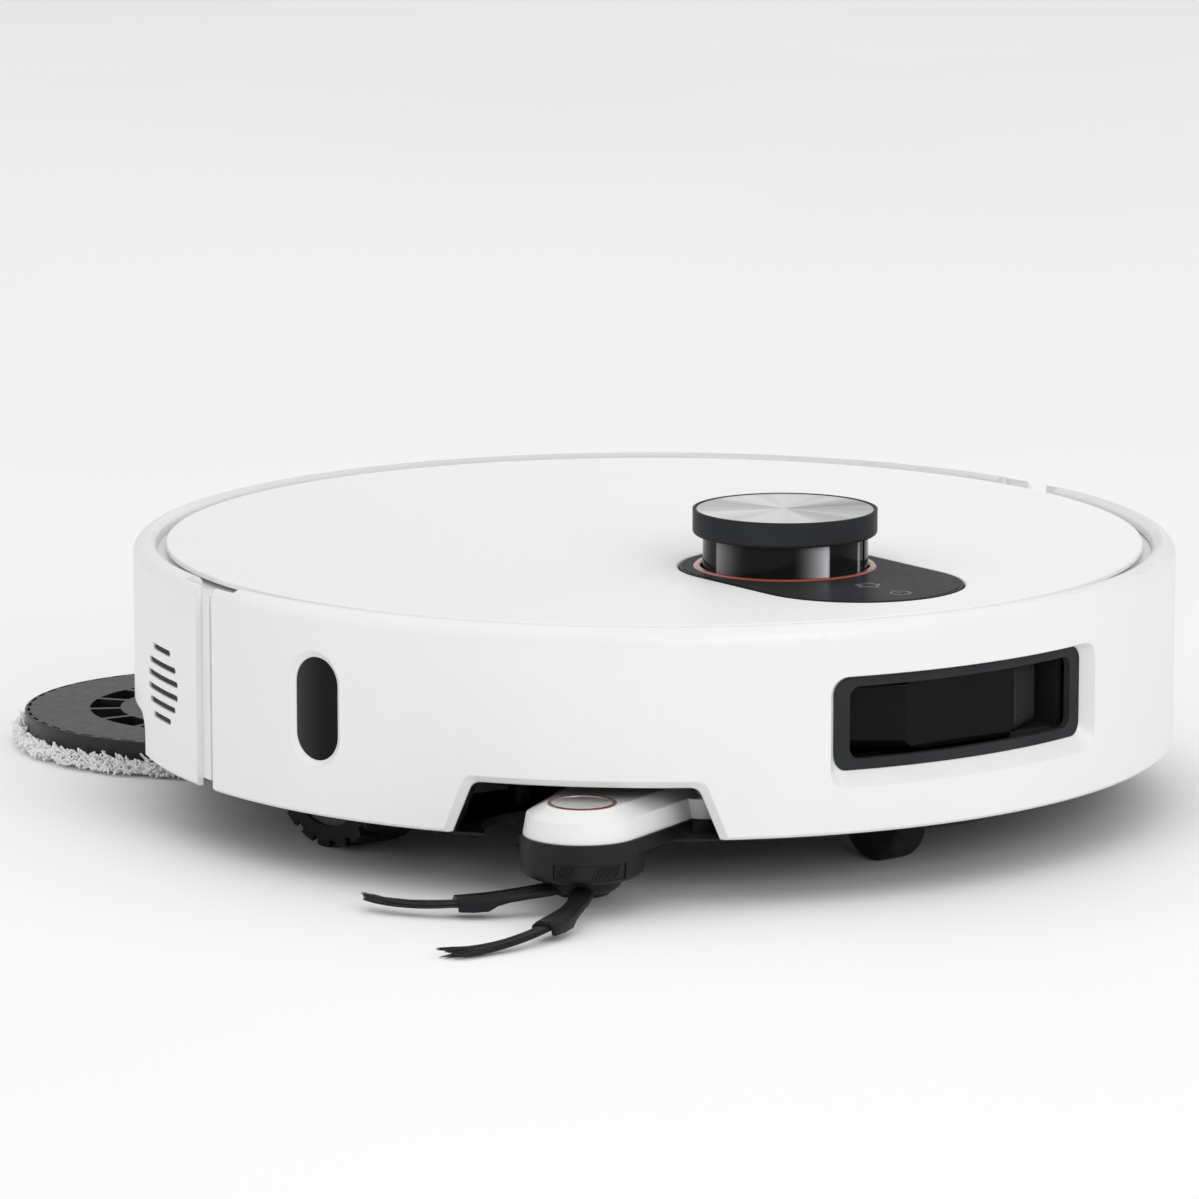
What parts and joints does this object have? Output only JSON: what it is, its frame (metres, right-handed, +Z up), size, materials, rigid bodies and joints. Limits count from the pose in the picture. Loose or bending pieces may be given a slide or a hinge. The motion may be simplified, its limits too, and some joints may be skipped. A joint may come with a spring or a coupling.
{
  "type": "robotic floor cleaner",
  "caption": "Round robotic vacuum and mop with a raised sensor turret, a swing-out side brush arm, two spinning mops, one on a swing-out arm, and a sprung front bumper.",
  "frame": {"origin": "on the floor under the centre of the round body", "axes": "+Z up, +Y towards the back where the charging contacts are; the robot drives towards -Y and its right-hand side is -X"},
  "size_m": [0.3618, 0.405, 0.1073],
  "materials": {
    "white_plastic": "satin",
    "lid_plastic": "fine grained",
    "dark_plastic": "matte",
    "panel_plastic": "satin",
    "black_gloss": "gloss",
    "icon_ink": "matte",
    "grey_plastic": "matte",
    "brushed_metal": "spun",
    "copper_trim": "polished",
    "steel": "turned",
    "tyre_rubber": "moulded",
    "soft_rubber": "moulded",
    "bristle": "fibre",
    "mop_cloth": "chenille",
    "filter_foam": "open cell",
    "smoked_lens": "gloss",
    "board": "lacquered",
    "battery_wrap": "shrink wrap",
    "tank_plastic": "translucent",
    "contact_metal": "plated"
  },
  "bodies": {
    "base": {"rear_shell": "white_plastic", "chassis_base": "dark_plastic", "mid_frame": "dark_plastic", "top_deck": "white_plastic", "chassis_screws": "steel", "cliff_sensors": "black_gloss", "exhaust_filter": "filter_foam", "charging_contacts": "contact_metal", "control_panel": "panel_plastic", "panel_gasket": "soft_rubber", "panel_icons": "icon_ink", "turret_ring": "copper_trim", "obstacle_sensor": "black_gloss", "window_tunnel": "black_gloss", "dust_bin": "dark_plastic", "bin_cover": "grey_plastic", "brush_housing": "dark_plastic", "brush_guard": "grey_plastic", "fan_housing": "dark_plastic", "water_tank": "tank_plastic", "battery_pack": "battery_wrap", "main_board": "board", "wheel_housings": "dark_plastic", "suspension_springs": "steel", "pivot_pins": "steel"},
    "bumper": {"front_bumper": "white_plastic", "window_frame": "panel_plastic", "side_sensor_window": "black_gloss"},
    "lid": {"top_lid": "lid_plastic"},
    "turret": {"turret_barrel": "smoked_lens", "turret_cap": "panel_plastic", "turret_cap_disc": "brushed_metal"},
    "lidar": {"lidar_rotor": "dark_plastic"},
    "brush_arm": {"brush_arm_cover": "white_plastic", "arm_badge_ring": "copper_trim", "arm_badge_disc": "brushed_metal", "brush_arm_body": "dark_plastic", "arm_grip": "dark_plastic"},
    "side_brush": {"side_brush_hub": "soft_rubber", "side_brush_bristles": "bristle", "side_brush_screw": "steel"},
    "mop_arm": {"mop_arm": "dark_plastic"},
    "mop_lift_right": {"mop_sleeve_right": "grey_plastic"},
    "mop_right": {"mop_plate_right": "grey_plastic", "mop_pad_right": "mop_cloth"},
    "mop_lift_left": {"mop_sleeve_left": "grey_plastic"},
    "mop_left": {"mop_plate_left": "grey_plastic", "mop_pad_left": "mop_cloth"},
    "suspension_left": {"suspension_arm_left": "dark_plastic"},
    "wheel_left": {"wheel_tyre_left": "tyre_rubber", "wheel_rim_left": "grey_plastic"},
    "suspension_right": {"suspension_arm_right": "dark_plastic"},
    "wheel_right": {"wheel_tyre_right": "tyre_rubber", "wheel_rim_right": "grey_plastic"},
    "caster_swivel": {"caster_fork": "dark_plastic", "caster_axle": "steel"},
    "caster_roll": {"caster_wheel": "tyre_rubber"},
    "main_brush": {"roller_core": "grey_plastic", "roller_fins": "soft_rubber"},
    "fan": {"fan_impeller": "grey_plastic"}
  },
  "joints": [
    {"name": "bumper_press", "type": "slide", "parent": "base", "child": "bumper", "axis": [0, 1, 0], "range_m": [0, 0.0022], "stiffness_N_per_m": 900},
    {"name": "lid_lift", "type": "slide", "parent": "base", "child": "lid", "axis": [0, 0, 1], "range_m": [0, 0.04]},
    {"name": "turret_lower", "type": "slide", "parent": "base", "child": "turret", "axis": [0, 0, -1], "range_m": [0, 0.01]},
    {"name": "lidar_spin", "type": "hinge", "parent": "turret", "child": "lidar", "pos_m": [0, -0.0723, 0.08], "axis": [0, 0, 1], "continuous": true},
    {"name": "brush_arm_swing", "type": "hinge", "parent": "base", "child": "brush_arm", "pos_m": [-0.073, -0.126, 0.022], "axis": [0, 0, 1], "range_deg": [-32, 0]},
    {"name": "side_brush_spin", "type": "hinge", "parent": "brush_arm", "child": "side_brush", "pos_m": [-0.121, -0.127, 0.008], "axis": [0, 0, 1], "continuous": true},
    {"name": "mop_arm_swing", "type": "hinge", "parent": "base", "child": "mop_arm", "pos_m": [-0.025, 0.1215, 0.03], "axis": [0, 0, 1], "range_deg": [0, 77.4]},
    {"name": "mop_lift_right", "type": "slide", "parent": "mop_arm", "child": "mop_lift_right", "axis": [0, 0, 1], "range_m": [0, 0.005]},
    {"name": "mop_spin_right", "type": "hinge", "parent": "mop_lift_right", "child": "mop_right", "pos_m": [-0.073, 0.16, 0.01], "axis": [0, 0, 1], "continuous": true},
    {"name": "mop_lift_left", "type": "slide", "parent": "base", "child": "mop_lift_left", "axis": [0, 0, 1], "range_m": [0, 0.005]},
    {"name": "mop_spin_left", "type": "hinge", "parent": "mop_lift_left", "child": "mop_left", "pos_m": [0.073, 0.083, 0.01], "axis": [0, 0, 1], "continuous": true},
    {"name": "suspension_drop_left", "type": "hinge", "parent": "base", "child": "suspension_left", "pos_m": [0.11, 0.026, 0.062], "axis": [1, 0, 0], "range_deg": [0, 7], "stiffness_Nm_per_rad": 0.3, "springref_deg": 25.78},
    {"name": "wheel_spin_left", "type": "hinge", "parent": "suspension_left", "child": "wheel_left", "pos_m": [0.1275, -0.0059, 0.035], "axis": [1, 0, 0], "continuous": true},
    {"name": "suspension_drop_right", "type": "hinge", "parent": "base", "child": "suspension_right", "pos_m": [-0.11, 0.026, 0.062], "axis": [1, 0, 0], "range_deg": [0, 7], "stiffness_Nm_per_rad": 0.3, "springref_deg": 25.78},
    {"name": "wheel_spin_right", "type": "hinge", "parent": "suspension_right", "child": "wheel_right", "pos_m": [-0.1275, -0.0059, 0.035], "axis": [1, 0, 0], "continuous": true},
    {"name": "caster_turn", "type": "hinge", "parent": "base", "child": "caster_swivel", "pos_m": [0, -0.136, 0.03], "axis": [0, 0, 1], "continuous": true},
    {"name": "caster_spin", "type": "hinge", "parent": "caster_swivel", "child": "caster_roll", "pos_m": [0, -0.126, 0.015], "axis": [1, 0, 0], "continuous": true},
    {"name": "main_brush_spin", "type": "hinge", "parent": "base", "child": "main_brush", "pos_m": [0, -0.048, 0.0182], "axis": [1, 0, 0], "continuous": true},
    {"name": "fan_spin", "type": "hinge", "parent": "base", "child": "fan", "pos_m": [-0.09, 0.078, 0.05], "axis": [0, 0, 1], "continuous": true}
  ]
}
